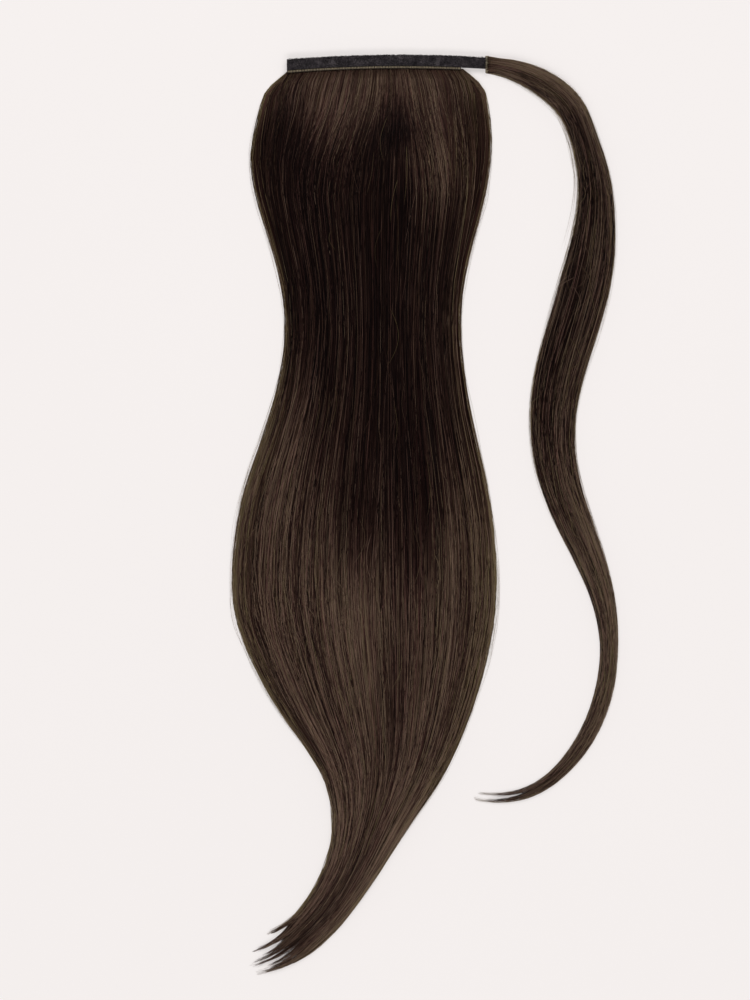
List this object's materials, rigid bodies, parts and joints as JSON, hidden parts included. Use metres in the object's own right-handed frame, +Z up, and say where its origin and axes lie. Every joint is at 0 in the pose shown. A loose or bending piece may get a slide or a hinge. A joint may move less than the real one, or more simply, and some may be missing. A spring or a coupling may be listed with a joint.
{
  "type": "wrap-around ponytail hairpiece",
  "caption": "Long dark brown ponytail hairpiece laid flat: two layers of hair under a folded tape band with a hook tab, and a thin curving wrap strand.",
  "frame": {"origin": "middle of the flat underside of the band where the wefts are held, on the surface that the piece lies on", "axes": "+X along the band towards its tab and the wrap strand, +Y from the hair's tips towards the band, +Z up from the surface"},
  "size_m": [0.2312, 0.5507, 0.0171],
  "materials": {
    "hair": "dark brown human hair with a soft sheen",
    "loop_tape": "dark grey soft loop tape, matt and fuzzy",
    "hook_tape": "black hook tape, matt",
    "weft_stitching": "brown sewing thread"
  },
  "bodies": {
    "root": {"closure_band": "loop_tape", "hook_tape": "hook_tape", "weft_seam": "weft_stitching", "back_fall": "hair", "front_fall": "hair", "wrap_strand": "hair"}
  },
  "joints": []
}
